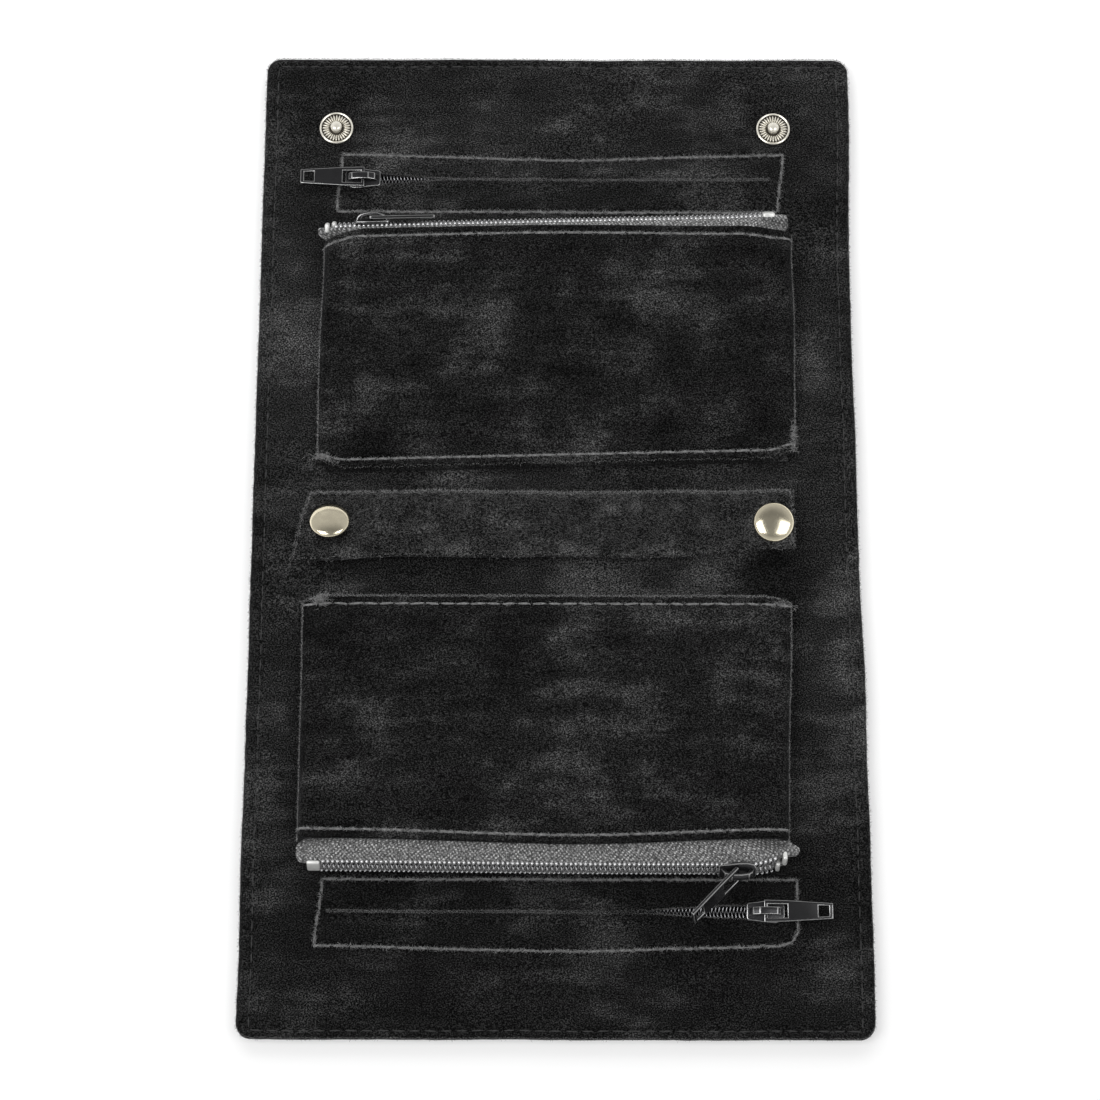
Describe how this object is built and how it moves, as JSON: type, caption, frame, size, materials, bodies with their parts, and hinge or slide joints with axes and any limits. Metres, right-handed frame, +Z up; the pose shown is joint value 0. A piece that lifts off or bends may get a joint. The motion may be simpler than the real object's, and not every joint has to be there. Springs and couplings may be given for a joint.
{
  "type": "jewelry roll",
  "caption": "Velvet jewelry roll lying open: a padded panel that folds up, with zipped lift-up pouches, zipped slit pockets, a ring bar held by two snaps, and closing studs.",
  "frame": {"origin": "centre of the open panel's outline, on the table under its outer cover", "axes": "+Y along the panel towards the closing studs, +Z up out of the lining, X across the panel"},
  "size_m": [0.165, 0.276, 0.0159],
  "materials": {
    "velvet": "black cotton velvet with a short brushed pile",
    "pouch_velvet": "black cotton velvet, lightly crushed",
    "wadding": "thin pale wadding",
    "zip_tape": "dark grey twill tape",
    "zip_coil": "dark nylon coil",
    "black_enamel": "gloss black enamel on cast zinc",
    "bright_stop": "bright stamped aluminium",
    "pale_nickel": "pale champagne nickel plating"
  },
  "bodies": {
    "spine": {"cover_spine": "velvet", "padding_spine": "wadding", "lining_spine": "velvet", "ring_bar_anchor": "velvet", "ring_bar_cap_left": "pale_nickel", "ring_bar_stud_left": "pale_nickel", "ring_bar_stud_right": "pale_nickel"},
    "ring_bar": {"ring_bar_strap": "velvet", "ring_bar_cap_right": "pale_nickel"},
    "upper_section": {"cover_upper": "velvet", "padding_upper": "wadding", "lining_upper": "velvet", "upper_slit_tape_inner": "zip_tape", "upper_slit_tape_outer": "zip_tape", "upper_slit_chain_inner": "zip_coil", "upper_slit_chain_outer": "zip_coil"},
    "top_flap": {"cover_top_flap": "velvet", "padding_top_flap": "wadding", "lining_top_flap": "velvet", "closing_stud_left": "pale_nickel", "closing_stud_right": "pale_nickel", "closing_washer_left": "pale_nickel", "closing_washer_right": "pale_nickel"},
    "lower_section": {"cover_lower": "velvet", "padding_lower": "wadding", "lining_lower": "velvet", "lower_slit_tape_inner": "zip_tape", "lower_slit_tape_outer": "zip_tape", "lower_slit_chain_inner": "zip_coil", "lower_slit_chain_outer": "zip_coil", "closing_socket_left": "pale_nickel", "closing_socket_right": "pale_nickel"},
    "upper_pouch": {"upper_pouch_front": "pouch_velvet", "upper_pouch_back": "pouch_velvet", "upper_pouch_tape_front": "zip_tape", "upper_pouch_tape_back": "zip_tape", "upper_pouch_chain_front": "zip_coil", "upper_pouch_chain_back": "zip_coil", "upper_pouch_bottom_stop": "bright_stop", "upper_pouch_top_stop_front": "bright_stop", "upper_pouch_top_stop_back": "bright_stop"},
    "lower_pouch": {"lower_pouch_front": "pouch_velvet", "lower_pouch_back": "pouch_velvet", "lower_pouch_tape_front": "zip_tape", "lower_pouch_tape_back": "zip_tape", "lower_pouch_chain_front": "zip_coil", "lower_pouch_chain_back": "zip_coil", "lower_pouch_bottom_stop": "bright_stop", "lower_pouch_top_stop_front": "bright_stop", "lower_pouch_top_stop_back": "bright_stop"},
    "upper_slit_slider": {"upper_slit_slider": "black_enamel"},
    "upper_slit_pull": {"upper_slit_pull": "black_enamel"},
    "lower_slit_slider": {"lower_slit_slider": "black_enamel"},
    "lower_slit_pull": {"lower_slit_pull": "black_enamel"},
    "upper_pouch_slider": {"upper_pouch_slider": "black_enamel"},
    "upper_pouch_pull": {"upper_pouch_pull": "black_enamel"},
    "lower_pouch_slider": {"lower_pouch_slider": "black_enamel"},
    "lower_pouch_pull": {"lower_pouch_pull": "black_enamel"}
  },
  "joints": [
    {"name": "upper_fold", "type": "hinge", "parent": "spine", "child": "upper_section", "pos_m": [0, 0.0125, 0.0044], "axis": [-1, 0, 0], "range_deg": [-90, 0]},
    {"name": "top_flap_fold", "type": "hinge", "parent": "upper_section", "child": "top_flap", "pos_m": [0, 0.1105, 0.0044], "axis": [-1, 0, 0], "range_deg": [-90, 0]},
    {"name": "lower_fold", "type": "hinge", "parent": "spine", "child": "lower_section", "pos_m": [0, -0.016, 0.0044], "axis": [1, 0, 0], "range_deg": [-90, 0]},
    {"name": "upper_pouch_lift", "type": "hinge", "parent": "upper_section", "child": "upper_pouch", "pos_m": [0, 0.0156, 0.0044], "axis": [0.9997, 0.0262, 0], "range_deg": [0, 85]},
    {"name": "lower_pouch_lift", "type": "hinge", "parent": "lower_section", "child": "lower_pouch", "pos_m": [0, -0.022, 0.0044], "axis": [-1, 0, 0], "range_deg": [0, 85]},
    {"name": "ring_bar_lift", "type": "hinge", "parent": "spine", "child": "ring_bar", "pos_m": [-0.053, -0.001, 0.0096], "axis": [0, -1, 0], "range_deg": [0, 60]},
    {"name": "upper_slit_slide", "type": "slide", "parent": "upper_section", "child": "upper_slit_slider", "axis": [1, 0, 0], "range_m": [0, 0.107]},
    {"name": "upper_slit_pull_swing", "type": "hinge", "parent": "upper_slit_slider", "child": "upper_slit_pull", "pos_m": [-0.0545, 0.1007, 0.00615], "axis": [0, 1, 0], "range_deg": [0, 100]},
    {"name": "lower_slit_slide", "type": "slide", "parent": "lower_section", "child": "lower_slit_slider", "axis": [-1, 0, 0], "range_m": [0, 0.107]},
    {"name": "lower_slit_pull_swing", "type": "hinge", "parent": "lower_slit_slider", "child": "lower_slit_pull", "pos_m": [0.0545, -0.1052, 0.00615], "axis": [0, -1, 0], "range_deg": [0, 100]},
    {"name": "upper_pouch_slide", "type": "slide", "parent": "upper_pouch", "child": "upper_pouch_slider", "axis": [0.9997, 0.0262, 0], "range_m": [0, 0.103]},
    {"name": "upper_pouch_pull_swing", "type": "hinge", "parent": "upper_pouch_slider", "child": "upper_pouch_pull", "pos_m": [-0.05138, 0.08679, 0.00977], "axis": [0.009, -0.3419, 0.9397], "range_deg": [0, 170]},
    {"name": "lower_pouch_slide", "type": "slide", "parent": "lower_pouch", "child": "lower_pouch_slider", "axis": [-1, 0, 0], "range_m": [0, 0.103]},
    {"name": "lower_pouch_pull_swing", "type": "hinge", "parent": "lower_pouch_slider", "child": "lower_pouch_pull", "pos_m": [0.047, -0.09641, 0.00977], "axis": [0, 0.342, 0.9397], "range_deg": [-45, 75]}
  ]
}
